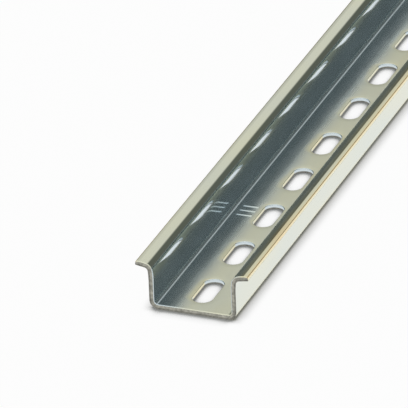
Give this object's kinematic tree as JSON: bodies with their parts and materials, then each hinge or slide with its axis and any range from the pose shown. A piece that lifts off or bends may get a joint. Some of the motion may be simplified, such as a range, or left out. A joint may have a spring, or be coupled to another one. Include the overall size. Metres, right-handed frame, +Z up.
{
  "type": "din rail",
  "caption": "Perforated 35 mm top-hat rail, 15 mm high: an open channel with two outward lips and a row of slots along its base.",
  "frame": {"origin": "middle of the rail's underside, halfway along its length", "axes": "+Y along the rail, away from the end nearest the camera; +Z up, out of the open channel; +X across the rail"},
  "size_m": [0.035, 0.5, 0.015],
  "materials": {
    "passivated_zinc": "roll-formed steel, zinc plated and passivated, satin with a faint yellow and green tint"
  },
  "bodies": {
    "root": {"rail": "passivated_zinc"}
  },
  "joints": []
}
